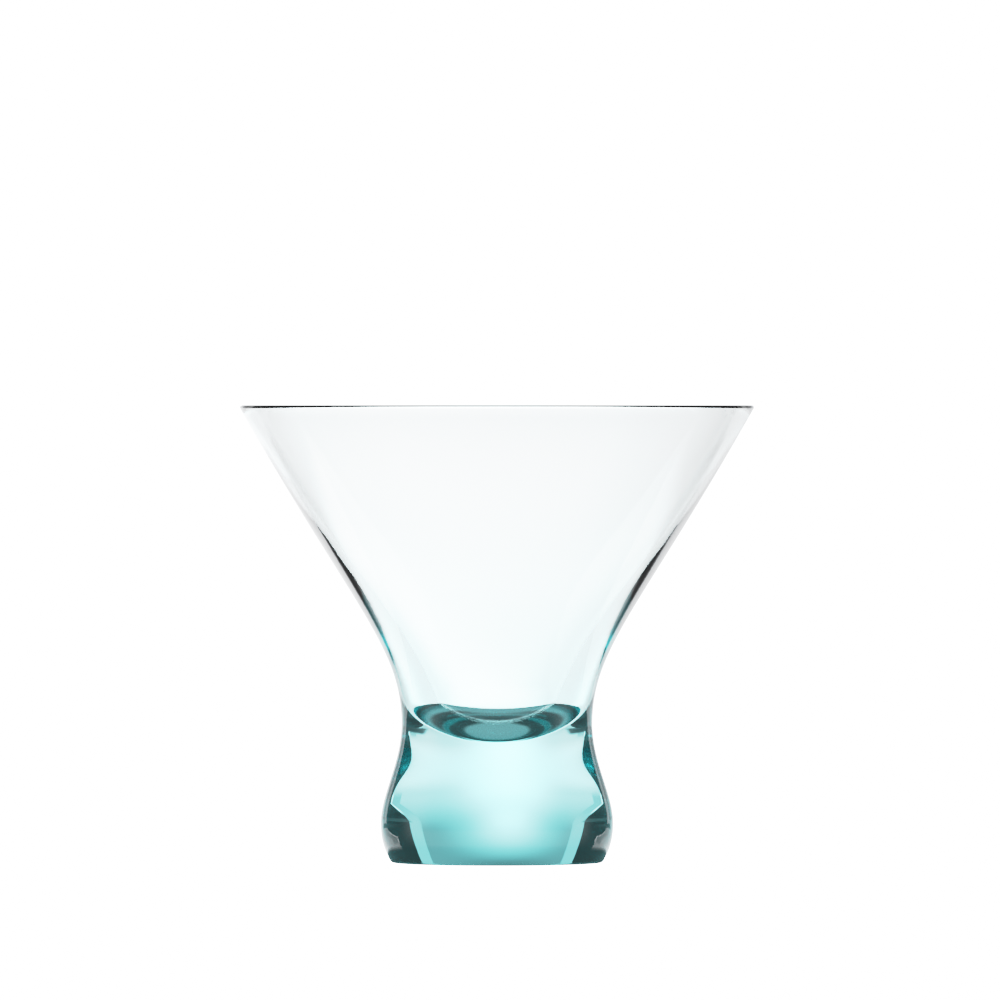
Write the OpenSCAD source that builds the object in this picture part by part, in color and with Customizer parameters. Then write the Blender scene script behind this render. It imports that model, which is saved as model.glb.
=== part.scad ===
// Stemless martini glass in two gathers of tinted crystal: a thin flared bowl on a heavy
// waisted base. Every outline is turned about the Z axis. Millimetres, +Z up.
// The origin is the centre of the flat underside, on the surface the glass stands on.

/* [Overall] */
// Height from the table to the top of the rim
glass_h = 104.6; // [90:0.1:130]
// Outside diameter across the rim
rim_d = 117.6; // [98:0.1:142]

/* [Waist] */
// Outside diameter at the waist, where the bowl meets the base
waist_d = 43.7; // [36:0.1:52]
// Height of the waist above the table
waist_z = 31.8; // [26:0.1:39]

/* [Bowl] */
// Glass thickness at the rim, measured square to the wall
rim_wall = 1.1; // [0.8:0.1:2.4]
// Slope of the outside wall at the rim, in degrees from upright
rim_slope = 29.4; // [22:0.1:36]
// How far the outside wall rises from the waist before it begins to flare
waist_rise = 17.5; // [12:0.1:22]
// How far below the rim the outside wall stays straight
wall_run = 52.1; // [42:0.1:64]
// Slope of the cavity wall at the rim, in degrees from upright
cavity_slope = 28.8; // [24:0.1:33]
// How far below the rim the cavity wall stays straight
cavity_run = 41.5; // [34:0.1:48]
// Slope of the cavity wall where it leaves the rounded floor, in degrees from upright
floor_slope = 20.3; // [16:0.1:25]
// How far the cavity wall stays straight above the floor
floor_run = 20.3; // [14:0.1:24]
// Radius of the rounded cavity floor
floor_r = 18.3; // [15:0.1:20]
// Radius of the tighter hollow at the centre of that floor
hollow_r = 13.3; // [11:0.1:16]
// Angle that the hollow turns through from the centre, in degrees
hollow_turn = 32; // [10:1:45]
// Glass of the bowl under the lowest point of the cavity
floor_wall = 4.5; // [3:0.1:8]

/* [Seat between bowl and base] */
// How deep the rounded underside of the bowl sinks into the base
seat_depth = 10; // [6:0.1:14]

/* [Base] */
// Outside diameter of the base at its widest
belly_d = 53.2; // [53:0.1:66]
// Height of the widest point above the table
belly_z = 9.1; // [7:0.1:11]
// How far the outline drops from the waist before it swells
waist_drop = 8.9; // [6:0.1:11]
// How far the outline rises from the widest point before it draws in
belly_rise = 6.6; // [4:0.1:9]
// How far the outline drops from the widest point before it tucks under
belly_drop = 4; // [2:0.1:5]
// How far the flat underside stops short of the widest radius
foot_inset = 3.2; // [2:0.1:6]
// Radius of the polished edge round the underside
foot_edge_r = 1.2; // [0.6:0.1:2]
// Slope at which the belly runs into that edge, in degrees from upright
foot_slope = 29; // [20:1:40]
// Length over which the belly straightens above that edge
foot_run = 2.4; // [1:0.1:4]

/* [Smoothness] */
// Steps along each long curve
curve_steps = 64; // [24:1:96]
// Steps along the rim's lip, the foot's edge and the seat
arc_steps = 24; // [12:1:40]
// Steps around the axis
$fn = 180; // [72:4:240]

/* [Hidden] */

TINT_BOWL = [0.80, 0.93, 0.94, 0.55];
TINT_BASE = [0.42, 0.78, 0.78, 0.80];

// Outlines are lists of [radius, height].
waist = [waist_d / 2, waist_z];
seat_bottom = [0, waist_z - seat_depth];
floor_centre = [0, seat_bottom[1] + floor_wall];
belly = [belly_d / 2, belly_z];

// The cavity floor is two arcs that meet smoothly at the edge of the hollow.
hollow_centre = floor_centre + [0, hollow_r];
hollow_edge_normal = [sin(hollow_turn), -cos(hollow_turn)];
floor_arc_centre = hollow_centre + (hollow_r - floor_r) * hollow_edge_normal;
floor_edge = floor_arc_centre + floor_r * [cos(floor_slope), -sin(floor_slope)];

// The lip is a half circle between the outside wall and the cavity wall.
lip_r = rim_wall / 2;
lip_centre = [rim_d / 2 - lip_r, glass_h - lip_r];
lip_outer = lip_centre + lip_r * [cos(rim_slope), -sin(rim_slope)];
lip_inner = lip_centre + lip_r * [-cos(cavity_slope), sin(cavity_slope)];

// The foot's edge is an arc from the belly's tuck to the flat underside.
foot_centre = [belly[0] - foot_inset, foot_edge_r];
foot_start = foot_centre + foot_edge_r * [cos(foot_slope), -sin(foot_slope)];

// The seat is a spherical cap through its lowest point and the waist.
seat_r = (waist[0] ^ 2 + seat_depth ^ 2) / (2 * seat_depth);
seat_half_angle = asin(waist[0] / seat_r);

// A smooth curve from a to d that leaves along b and arrives along c
function bezier(a, b, c, d, steps) = [
    for (i = [0 : steps])
        let (t = i / steps, s = 1 - t)
            s ^ 3 * a + 3 * s ^ 2 * t * b + 3 * s * t ^ 2 * c + t ^ 3 * d
];

// An arc about a centre, with angles in degrees from the outward radius
function arc(centre, r, from, to, steps) = [
    for (i = [0 : steps])
        let (a = from + (to - from) * i / steps)
            centre + r * [cos(a), sin(a)]
];

function backwards(points) = [for (i = [len(points) - 1 : -1 : 0]) points[i]];
function without_first(points) = [for (i = [1 : len(points) - 1]) points[i]];

// A straight run of a given length down the wall from a point at the rim
function down_wall(point, slope, run) = point - run * [sin(slope), cos(slope)];

// From the centre of the seat up to the waist
function seat_line() = let (top = seat_bottom + [0, seat_r])
    concat([seat_bottom], without_first(arc(top, seat_r, -90, seat_half_angle - 90, arc_steps)));

// From the waist up the outside of the bowl to the lip
function bowl_outside() = bezier(
    waist,
    waist + [0, waist_rise],
    down_wall(lip_outer, rim_slope, wall_run),
    lip_outer,
    curve_steps
);

// Over the rim, from the outside to the cavity
function lip_line() = arc(lip_centre, lip_r, -rim_slope, 180 - cavity_slope, arc_steps);

// From the centre of the cavity floor out to the edge of its tighter hollow
function hollow_line() = arc(hollow_centre, hollow_r, -90, hollow_turn - 90, arc_steps);

// From the edge of the hollow up the rounded floor
function floor_line() = arc(floor_arc_centre, floor_r, hollow_turn - 90, -floor_slope, curve_steps);

// From the rounded floor up the cavity wall to the lip
function wall_line() = bezier(
    floor_edge,
    floor_edge + floor_run * [sin(floor_slope), cos(floor_slope)],
    down_wall(lip_inner, cavity_slope, cavity_run),
    lip_inner,
    curve_steps
);

// The whole cavity, from the lip down to the centre of its floor
function cavity_line() = backwards(concat(
    hollow_line(),
    without_first(floor_line()),
    without_first(wall_line())
));

// From the centre of the underside round the foot's edge
function foot_line() = concat([[0, 0]], arc(foot_centre, foot_edge_r, -90, -foot_slope, arc_steps));

// From the foot's edge up to the widest point
function tuck_line() = bezier(
    foot_start,
    foot_start + foot_run * [sin(foot_slope), cos(foot_slope)],
    belly - [0, belly_drop],
    belly,
    arc_steps
);

// From the widest point up to the waist
function flank_line() = bezier(
    belly,
    belly + [0, belly_rise],
    waist - [0, waist_drop],
    waist,
    curve_steps
);

// The blown bowl, with its rounded underside filling the seat
module bowl() {
    color(TINT_BOWL)
        rotate_extrude()
            polygon(concat(
                seat_line(),
                without_first(bowl_outside()),
                without_first(lip_line()),
                without_first(cavity_line())
            ));
}

// The solid base, with the cupped seat in its top
module base() {
    color(TINT_BASE)
        rotate_extrude()
            polygon(concat(
                foot_line(),
                without_first(tuck_line()),
                without_first(flank_line()),
                without_first(backwards(seat_line()))
            ));
}

base();
bowl();
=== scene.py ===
import math

import bpy
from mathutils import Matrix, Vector


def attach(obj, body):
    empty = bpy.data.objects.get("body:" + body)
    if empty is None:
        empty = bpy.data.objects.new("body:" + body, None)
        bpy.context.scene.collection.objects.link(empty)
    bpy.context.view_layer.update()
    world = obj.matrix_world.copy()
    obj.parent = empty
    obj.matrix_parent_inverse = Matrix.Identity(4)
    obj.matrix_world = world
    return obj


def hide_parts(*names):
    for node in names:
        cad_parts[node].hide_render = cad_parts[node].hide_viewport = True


BODY = "root"

# Mesh
SEGMENTS = 288          # steps around the axis
SEAT_GAP = 2e-6         # clear space left on each side of the fused seat
CORNER_TURN = 40.0      # degrees; a sharper turn in the outline stays a crease
ON_PLANE = 1e-7         # a point this near the half plane y = 0 lies on it
SAME_HEIGHT = 1e-9

# Glass
GLASS_IOR = 1.52
STRAIGHT_IOR = 1.0      # inside the fused seat light goes straight on
TINT = (0.0, 0.85, 0.87)
TINT_DENSITY = 26.0
RELIEF = 1.5e-5         # height of the surface waviness
WAVE_SCALE = 70.0
WAVE_DETAIL = 1.0
CORD_STRETCH = (0.35, 0.35, 1.0)    # draws the finer noise out sideways into cords
CORD_SCALE = 260.0
CORD_DETAIL = 2.0
CORD_SHARE = 0.12       # height of the cords against the waves
WEAR_HEIGHT = 0.0012    # the foot is worn dull below this height
WEAR_FULL = 0.3         # fully worn below this share of that height
WEAR_SCALE = 900.0
WEAR_PATCHES = (0.35, 0.65, 0.3, 1.0)   # noise from and to, least and most wear
WEAR_ROUGHNESS = 0.35

# Camera
FARTHEST_SEEN = 100.0
CAMERA_DISTANCE = 3.2
CAMERA_HEIGHT = 0.1046
AIM_HEIGHT = 0.0829
SIDE_STEP = 0.0007      # the glass stands this far left of the middle of the picture
VIEW_HALF_WIDTH = 0.1143
SENSOR = 36.0

# Light
WHITE_SEEN = 5.4        # what the camera sees where nothing stands in the way
LAMP_COLOUR = (0.955, 0.98, 1.0, 1.0)

# The soft wedge of light behind the glass. Bearings are in degrees from +Y, heights in degrees.
WEDGE_HALF = 37.5       # its half width at the horizon
WEDGE_LEAN = 0.33       # its sides draw in by this many degrees for each degree of height
WEDGE_SPREAD = 0.24     # and open out below the horizon, up to WEDGE_WIDEST
WEDGE_WIDEST = 60.0
WEDGE_TOP = (28.0, 36.0)
WEDGE_EDGE = (0.99, 1.01)           # its side edges, as shares of its half width
BAND_EDGE = (0.79, 0.81)            # beyond this share it is a separate, even strip
BAND_FADE = (-16.0, -12.0)          # the strip is gone below these heights
BAND_GLOW = 1.15
HEM_GLOW = 3.5          # bright hem along the sides of the wedge on the table
HEM_HALF = 0.9
HEM_TOP = (-7.0, -4.0)
HEM_FOOT = (-16.0, -13.0)
MIDDLE_BEARING = -4.0   # the brightest line stands this far to the side
MIDDLE_HALF = 14.0
MIDDLE_LOW = 0.35       # glow at the top of the wedge's middle line
MIDDLE_SKY = (16.0, -1.0, 2.35)     # gained from the first height down to the second
MIDDLE_TABLE = (-2.0, -18.0, 2.4)
SPOT_GLOW = 0.8         # a soft extra glow low behind the bowl
SPOT_HEIGHT = -3.2
SPOT_HALF = 7.0
SPOT_HALF_HEIGHT = 4.2
FLANK_LOW = 0.55        # glow beside the middle line
FLANK_TABLE = (3.0, -13.0, 1.3)
FLANK_NEAR = (-13.0, -24.0, 1.2)

# Beside, before and above the glass
SIDE_GLOW = 0.06
SIDE_TABLE = 0.12
TABLE_HEIGHTS = (-10.0, -4.0)       # the air's glow turns into the table's between these
FRONT_BEARING = (85.0, 110.0)
FRONT_GLOW = 0.20
FRONT_TABLE = 0.90
ABOVE_HEIGHTS = (18.0, 35.0)
ABOVE_GLOW = 0.35
LAMP_BEARING = 92.0     # a soft lamp on each side
LAMP_HALF_WIDTH = 14.0
LAMP_HALF_HEIGHT = 16.0
LAMP_GLOW = 1.5

# The table. Each pair is where a soft edge begins and ends.
UNDER_GLOW = 0.50       # painted shade under the foot, lighter than the painted shadow ring round it
UNDER_EDGE = (0.017, 0.021)
CONTACT_GLOW = 0.09     # the shaded ring round the foot
CONTACT_EDGE = (0.030, 0.036)
FAR_GLOW = 0.15         # a patch of shade further out on each side
FAR_START = (0.14, 0.19)
FAR_END = (0.30, 0.38)
FAR_BEARING = (31.0, 36.0)
FAR_BEARING_END = (72.0, 80.0)
TABLE_RADIUS = 8.0
TABLE_SIDES = 64
TABLE_DROP = 2e-4

# Tone: scene light and how light it is shown, before the screen's own curve
WHITE_LEVEL = 5.0
TONE = [(0.3, 0.3), (0.6, 0.6), (0.76, 0.68), (1.2, 0.78), (1.6, 0.84), (2.0, 0.89),
        (2.5, 0.945), (3.5, 0.985)]
ALL_CHANNELS = 3        # the curve that acts on red, green and blue together

# How many times a ray may meet the glass before it is given up
GLASS_BOUNCES = 28
MIRROR_BOUNCES = 20


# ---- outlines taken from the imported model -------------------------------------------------

def meridian_links(mesh):
    """Which outline points join which, from the mesh's own edges in the half plane y = 0."""
    links = {}
    for edge in mesh.edges:
        ends = [mesh.vertices[i].co for i in edge.vertices]
        if all(abs(p.y) < ON_PLANE and p.x > -ON_PLANE for p in ends):
            a, b = [(round(max(p.x, 0.0), 6), round(p.z, 6)) for p in ends]
            if a != b:
                links.setdefault(a, set()).add(b)
                links.setdefault(b, set()).add(a)
    return links


def outline(node):
    """A node's outline as (radius, height) points, from the bottom of the seat to the axis."""
    links = meridian_links(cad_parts[node].data)
    ends = [p for p, joined in links.items() if len(joined) == 1]
    start = min((p for p in ends if p[0] == 0.0), key=lambda p: p[1])
    points, last = [start], None
    while True:
        onward = [p for p in links[points[-1]] if p != last]
        if not onward:
            break
        last = points[-1]
        points.append(onward[0])
    if points[-1][0] > 0.0:
        points.append((0.0, points[-1][1]))
    return points


def corner_indices(points):
    """Places where the outline turns too sharply to be shaded as one smooth surface."""
    found = []
    for i in range(1, len(points) - 1):
        into = Vector(points[i]) - Vector(points[i - 1])
        out = Vector(points[i + 1]) - Vector(points[i])
        if math.degrees(into.angle(out)) > CORNER_TURN:
            found.append(i)
    return found


# ---- pieces -------------------------------------------------------------------------------

def ring_vertices(points):
    """Vertex positions of every ring, and each ring's first index and length."""
    places, rings = [], []
    turn = [2 * math.pi * i / SEGMENTS for i in range(SEGMENTS)]
    for r, z in points:
        rings.append((len(places), 1 if r == 0.0 else SEGMENTS))
        if r == 0.0:
            places.append((0.0, 0.0, z))
        else:
            places.extend((r * math.cos(a), r * math.sin(a), z) for a in turn)
    return places, rings


def band_faces(lower, upper):
    """Faces between two neighbouring rings, either of which may be a single point."""
    (a, count_a), (b, count_b) = lower, upper
    for i in range(SEGMENTS):
        j = (i + 1) % SEGMENTS
        if count_a == 1:
            yield (a, b + j, b + i)
        elif count_b == 1:
            yield (a + i, a + j, b)
        else:
            yield (a + i, a + j, b + j, b + i)


def lathe(name, points, seat_end, lift):
    """A closed turned piece; the seat faces carry seat = 1 and stand lift away from the seat."""
    points = [(r, z + lift if i <= seat_end else z) for i, (r, z) in enumerate(points)]
    places, rings = ring_vertices(points)
    faces, in_seat = [], []
    for i in range(len(rings) - 1):
        band = list(band_faces(rings[i], rings[i + 1]))
        faces.extend(band)
        in_seat.extend([1.0 if i < seat_end else 0.0] * len(band))
    mesh = bpy.data.meshes.new(name)
    mesh.from_pydata(places, [], faces)
    mesh.validate()
    if outward_volume(mesh) < 0:
        mesh.flip_normals()
    mesh.shade_smooth()
    crease(mesh, rings, corner_indices(points))
    mark = mesh.attributes.new("seat", "FLOAT", "FACE")
    mark.data.foreach_set("value", in_seat)
    piece = bpy.data.objects.new(name, mesh)
    bpy.context.scene.collection.objects.link(piece)
    return piece


def outward_volume(mesh):
    """Volume inside the faces; negative if their normals point inwards."""
    total = 0.0
    for face in mesh.polygons:
        total += face.center.dot(face.normal) * face.area
    return total / 3.0


def crease(mesh, rings, corners):
    """Marks the rings at the outline's corners as sharp edges."""
    sharp = set()
    for i in corners:
        first, count = rings[i]
        sharp.update(range(first, first + count))
    flags = [e.vertices[0] in sharp and e.vertices[1] in sharp for e in mesh.edges]
    heights = [[mesh.vertices[i].co.z for i in e.vertices] for e in mesh.edges]
    same_ring = [abs(a - b) < SAME_HEIGHT for a, b in heights]
    mark = mesh.attributes.new("sharp_edge", "BOOLEAN", "EDGE")
    mark.data.foreach_set("value", [a and b for a, b in zip(flags, same_ring)])


# ---- node helpers -------------------------------------------------------------------------

class Nodes:
    """Short ways to add and join shader nodes in one tree."""

    def __init__(self, tree):
        self.tree = tree
        tree.nodes.clear()

    def add(self, kind, **settings):
        node = self.tree.nodes.new(kind)
        for key, value in settings.items():
            setattr(node, key, value)
        return node

    def feed(self, socket, value):
        if isinstance(value, bpy.types.NodeSocket):
            self.tree.links.new(value, socket)
        else:
            socket.default_value = value

    def math(self, operation, a, b=None):
        node = self.add("ShaderNodeMath", operation=operation)
        self.feed(node.inputs[0], a)
        if b is not None:
            self.feed(node.inputs[1], b)
        return node.outputs[0]

    def ramp(self, value, start, end, low, high):
        node = self.add("ShaderNodeMapRange", interpolation_type="SMOOTHSTEP")
        for key, given in (("Value", value), ("From Min", start), ("From Max", end),
                           ("To Min", low), ("To Max", high)):
            self.feed(node.inputs[key], given)
        return node.outputs["Result"]

    def bell(self, value, width):
        """exp(-(value / width)^2)"""
        ratio = self.math("DIVIDE", value, width)
        return self.math("EXPONENT", self.math("MULTIPLY", self.math("MULTIPLY", ratio, ratio), -1.0))


# ---- glass --------------------------------------------------------------------------------

def surface_height(n, spot):
    """Hand-worked relief: a slow waviness and faint horizontal cords left by the turning."""
    wave = n.add("ShaderNodeTexNoise")
    n.feed(wave.inputs["Vector"], spot)
    n.feed(wave.inputs["Scale"], WAVE_SCALE)
    n.feed(wave.inputs["Detail"], WAVE_DETAIL)
    squash = n.add("ShaderNodeVectorMath", operation="MULTIPLY")
    n.feed(squash.inputs[0], spot)
    n.feed(squash.inputs[1], CORD_STRETCH)
    cord = n.add("ShaderNodeTexNoise")
    n.feed(cord.inputs["Vector"], squash.outputs[0])
    n.feed(cord.inputs["Scale"], CORD_SCALE)
    n.feed(cord.inputs["Detail"], CORD_DETAIL)
    cords = n.math("MULTIPLY", cord.outputs["Fac"], CORD_SHARE)
    return n.math("ADD", wave.outputs["Fac"], cords)


def foot_wear(n, spot):
    """Roughness: fire polish everywhere, worn dull in patches where the foot stands."""
    split = n.add("ShaderNodeSeparateXYZ")
    n.feed(split.inputs[0], spot)
    worn = n.ramp(split.outputs["Z"], WEAR_HEIGHT * WEAR_FULL, WEAR_HEIGHT, 1.0, 0.0)
    grain = n.add("ShaderNodeTexNoise")
    n.feed(grain.inputs["Vector"], spot)
    n.feed(grain.inputs["Scale"], WEAR_SCALE)
    patch = n.ramp(grain.outputs["Fac"], *WEAR_PATCHES)
    return n.math("MULTIPLY", n.math("MULTIPLY", worn, patch), WEAR_ROUGHNESS)


def glass(name):
    """Tinted crystal: fire-polished, very slightly wavy, tinted by the depth of glass."""
    material = bpy.data.materials.new(name)
    material.use_nodes = True
    n = Nodes(material.node_tree)
    shader = n.add("ShaderNodeBsdfPrincipled")
    n.feed(shader.inputs["Base Color"], (1.0, 1.0, 1.0, 1.0))
    n.feed(shader.inputs["Transmission Weight"], 1.0)
    n.feed(shader.inputs["IOR"], GLASS_IOR)
    seat = n.add("ShaderNodeAttribute", attribute_name="seat").outputs["Fac"]
    ior = n.add("ShaderNodeMapRange")
    n.feed(ior.inputs["Value"], seat)
    n.feed(ior.inputs["To Min"], GLASS_IOR)
    n.feed(ior.inputs["To Max"], STRAIGHT_IOR)
    n.feed(shader.inputs["IOR"], ior.outputs["Result"])
    spot = n.add("ShaderNodeTexCoord").outputs["Object"]
    relief = n.add("ShaderNodeBump")
    n.feed(relief.inputs["Strength"], 1.0)
    n.feed(relief.inputs["Distance"], RELIEF)
    n.feed(relief.inputs["Height"], surface_height(n, spot))
    n.feed(shader.inputs["Normal"], relief.outputs["Normal"])
    n.feed(shader.inputs["Roughness"], foot_wear(n, spot))
    tint = n.add("ShaderNodeVolumeAbsorption")
    n.feed(tint.inputs["Color"], (*TINT, 1.0))
    n.feed(tint.inputs["Density"], TINT_DENSITY)
    out = n.add("ShaderNodeOutputMaterial")
    n.feed(out.inputs["Surface"], shader.outputs[0])
    n.feed(out.inputs["Volume"], tint.outputs[0])
    return material


# ---- studio -------------------------------------------------------------------------------

def stage_mesh(name, corners, material):
    """A flat piece of the studio, which isn't part of the object."""
    mesh = bpy.data.meshes.new(name)
    mesh.from_pydata(corners, [], [tuple(range(len(corners)))])
    mesh.materials.append(material)
    made = bpy.data.objects.new(name, mesh)
    bpy.context.scene.collection.objects.link(made)


def seen_white(n, glow):
    """The same glow for the glass, but plain white where the camera looks straight at it."""
    path = n.add("ShaderNodeLightPath")
    return n.math("MAXIMUM", glow, n.math("MULTIPLY", path.outputs["Is Camera Ray"], WHITE_SEEN))


def lamp(n, kind, glow):
    """A light shader of the studio's colour and the given strength."""
    made = n.add(kind)
    n.feed(made.inputs["Color"], LAMP_COLOUR)
    n.feed(made.inputs["Strength"], seen_white(n, glow))
    return made.outputs[0]


def mix(n, share, a, b):
    """a where share is 0 and b where it is 1."""
    kept = n.math("MULTIPLY", n.math("SUBTRACT", 1.0, share), a)
    return n.math("ADD", kept, n.math("MULTIPLY", share, b))


def gained(n, height, start, end, gain):
    """Nothing above the start height, all of the gain below the end height."""
    return n.ramp(n.math("MULTIPLY", height, -1.0), -start, -end, 0.0, gain)


def wedge_half(n, height):
    """Half width of the wedge of light at this height."""
    above = n.math("MAXIMUM", height, 0.0)
    below = n.math("MINIMUM", height, 0.0)
    opened = n.math("MULTIPLY", n.math("MULTIPLY", below, below), WEDGE_SPREAD)
    half = n.math("SUBTRACT", n.math("ADD", opened, WEDGE_HALF), n.math("MULTIPLY", above, WEDGE_LEAN))
    return n.math("MINIMUM", half, WEDGE_WIDEST)


def wedge_glow(n, bearing, height, across):
    """Glow inside the wedge: a bright middle line, paler flanks and an even strip along each side."""
    middle = n.math("ADD", gained(n, height, *MIDDLE_SKY), gained(n, height, *MIDDLE_TABLE))
    middle = n.math("ADD", middle, MIDDLE_LOW)
    flank = n.math("ADD", gained(n, height, *FLANK_TABLE), gained(n, height, *FLANK_NEAR))
    flank = n.math("ADD", flank, FLANK_LOW)
    share = n.bell(n.math("SUBTRACT", bearing, MIDDLE_BEARING), MIDDLE_HALF)
    glow = mix(n, share, flank, middle)
    spot = n.math("MULTIPLY", n.bell(n.math("SUBTRACT", bearing, MIDDLE_BEARING), SPOT_HALF),
                  n.bell(n.math("SUBTRACT", height, SPOT_HEIGHT), SPOT_HALF_HEIGHT))
    glow = n.math("ADD", glow, n.math("MULTIPLY", spot, SPOT_GLOW))
    strip = n.math("MULTIPLY", n.ramp(across, *BAND_EDGE, 0.0, 1.0),
                   n.ramp(height, *BAND_FADE, 0.0, 1.0))
    return mix(n, strip, glow, BAND_GLOW)


def room_glow(n, bearing, height):
    """Glow outside the wedge: dark beside it, a soft lamp each side, paler in front and above."""
    front = n.ramp(bearing, *FRONT_BEARING, 0.0, 1.0)
    air = mix(n, front, SIDE_GLOW, FRONT_GLOW)
    air = mix(n, n.ramp(height, *ABOVE_HEIGHTS, 0.0, 1.0), air, ABOVE_GLOW)
    table = mix(n, front, SIDE_TABLE, FRONT_TABLE)
    glow = mix(n, n.ramp(height, *TABLE_HEIGHTS, 1.0, 0.0), air, table)
    beam = n.math("MULTIPLY", n.bell(n.math("SUBTRACT", bearing, LAMP_BEARING), LAMP_HALF_WIDTH),
                  n.bell(height, LAMP_HALF_HEIGHT))
    return n.math("ADD", glow, n.math("MULTIPLY", beam, LAMP_GLOW))


def studio_room():
    """The light around the glass, by direction: above the horizon and over the whole table."""
    world = bpy.data.worlds.new("studio")
    bpy.context.scene.world = world
    world.use_nodes = True
    n = Nodes(world.node_tree)
    way = n.add("ShaderNodeSeparateXYZ")
    n.feed(way.inputs[0], n.add("ShaderNodeTexCoord").outputs["Generated"])
    signed = n.math("DEGREES", n.math("ARCTAN2", way.outputs["X"], way.outputs["Y"]))
    bearing = n.math("ABSOLUTE", signed)
    height = n.math("DEGREES", n.math("ARCSINE", way.outputs["Z"]))
    half = wedge_half(n, height)
    across = n.math("DIVIDE", bearing, half)
    lit = n.math("MULTIPLY", n.ramp(across, *WEDGE_EDGE, 1.0, 0.0),
                 n.ramp(height, *WEDGE_TOP, 1.0, 0.0))
    glow = mix(n, lit, room_glow(n, bearing, height), wedge_glow(n, signed, height, across))
    hem = n.bell(n.math("SUBTRACT", bearing, half), HEM_HALF)
    hem = n.math("MULTIPLY", hem, n.ramp(height, *HEM_TOP, HEM_GLOW, 0.0))
    hem = n.math("MULTIPLY", hem, n.ramp(height, *HEM_FOOT, 0.0, 1.0))
    glow = n.math("ADD", glow, hem)
    n.feed(n.add("ShaderNodeOutputWorld").inputs["Surface"], lamp(n, "ShaderNodeBackground", glow))


def far_shade(n, radius, bearing):
    """Share of the shade patch that lies on each side of the table, away from the foot."""
    reach = n.math("MULTIPLY", n.ramp(radius, *FAR_START, 0.0, 1.0),
                   n.ramp(radius, *FAR_END, 1.0, 0.0))
    sides = n.math("MULTIPLY", n.ramp(bearing, *FAR_BEARING, 0.0, 1.0),
                   n.ramp(bearing, *FAR_BEARING_END, 1.0, 0.0))
    return n.math("MULTIPLY", reach, sides)


def glow_table():
    """Plain white to the eye. To light in the glass it is shaded round the foot and at the sides,
    and elsewhere it lets the room's light through."""
    material = bpy.data.materials.new("table")
    material.use_nodes = True
    n = Nodes(material.node_tree)
    split = n.add("ShaderNodeSeparateXYZ")
    n.feed(split.inputs[0], n.add("ShaderNodeTexCoord").outputs["Object"])
    x, y, _ = split.outputs
    radius = n.math("SQRT", n.math("ADD", n.math("MULTIPLY", x, x), n.math("MULTIPLY", y, y)))
    bearing = n.math("ABSOLUTE", n.math("DEGREES", n.math("ARCTAN2", x, y)))
    near = n.ramp(radius, *CONTACT_EDGE, 1.0, 0.0)
    far = far_shade(n, radius, bearing)
    foot = mix(n, n.ramp(radius, *UNDER_EDGE, 1.0, 0.0), CONTACT_GLOW, UNDER_GLOW)
    clear = n.math("SUBTRACT", 1.0, n.math("MAXIMUM", near, far))
    seen = n.add("ShaderNodeLightPath").outputs["Is Camera Ray"]
    sheet = n.add("ShaderNodeMixShader")
    n.feed(sheet.inputs[0], n.math("MULTIPLY", clear, n.math("SUBTRACT", 1.0, seen)))
    n.feed(sheet.inputs[1], lamp(n, "ShaderNodeEmission", mix(n, far, foot, FAR_GLOW)))
    n.feed(sheet.inputs[2], n.add("ShaderNodeBsdfTransparent").outputs[0])
    n.feed(n.add("ShaderNodeOutputMaterial").inputs["Surface"], sheet.outputs[0])
    turn = [2 * math.pi * i / TABLE_SIDES for i in range(TABLE_SIDES)]
    stage_mesh("table", [(TABLE_RADIUS * math.cos(a), TABLE_RADIUS * math.sin(a), -TABLE_DROP)
                         for a in turn], material)


def camera():
    """The eye stands level with the rim and looks slightly down at the middle of the glass."""
    data = bpy.data.cameras.new("camera")
    eye = bpy.data.objects.new("camera", data)
    bpy.context.scene.collection.objects.link(eye)
    data.sensor_width = SENSOR
    data.lens = SENSOR / 2 * CAMERA_DISTANCE / VIEW_HALF_WIDTH
    data.clip_end = FARTHEST_SEEN
    eye.location = (SIDE_STEP, -CAMERA_DISTANCE, CAMERA_HEIGHT)
    look = Vector((SIDE_STEP, 0.0, AIM_HEIGHT)) - eye.location
    eye.rotation_euler = look.to_track_quat("-Z", "Y").to_euler()
    bpy.context.scene.camera = eye


def film():
    """A soft shoulder to the tone, so that bright light and deep tint both keep their shading."""
    scene = bpy.context.scene
    scene.view_settings.view_transform = "Standard"
    scene.view_settings.look = "None"
    scene.view_settings.use_curve_mapping = True
    mapping = scene.view_settings.curve_mapping
    mapping.white_level = (WHITE_LEVEL,) * 3
    mapping.extend = "HORIZONTAL"
    curve = mapping.curves[ALL_CHANNELS]
    for seen, shown in TONE:
        curve.points.new(seen / WHITE_LEVEL, shown)
    mapping.update()
    scene.cycles.max_bounces = GLASS_BOUNCES
    scene.cycles.transmission_bounces = GLASS_BOUNCES
    scene.cycles.glossy_bounces = MIRROR_BOUNCES
    scene.cycles.transparent_max_bounces = MIRROR_BOUNCES


# ---- the whole scene ----------------------------------------------------------------------

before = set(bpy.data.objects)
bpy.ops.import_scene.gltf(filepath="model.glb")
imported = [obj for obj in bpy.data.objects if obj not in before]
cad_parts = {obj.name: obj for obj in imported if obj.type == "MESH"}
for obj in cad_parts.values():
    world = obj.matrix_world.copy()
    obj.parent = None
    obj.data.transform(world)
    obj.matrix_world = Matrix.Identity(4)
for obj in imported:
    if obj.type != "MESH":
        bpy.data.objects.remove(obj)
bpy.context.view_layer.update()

for node, lift in (("bowl", SEAT_GAP), ("base", -SEAT_GAP)):
    points = outline(node)
    piece = lathe(node + "_crystal", points, corner_indices(points)[0], lift)
    piece.data.materials.append(glass(node + "_crystal"))
    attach(piece, BODY)
    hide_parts(node)

glow_table()
studio_room()
camera()
film()
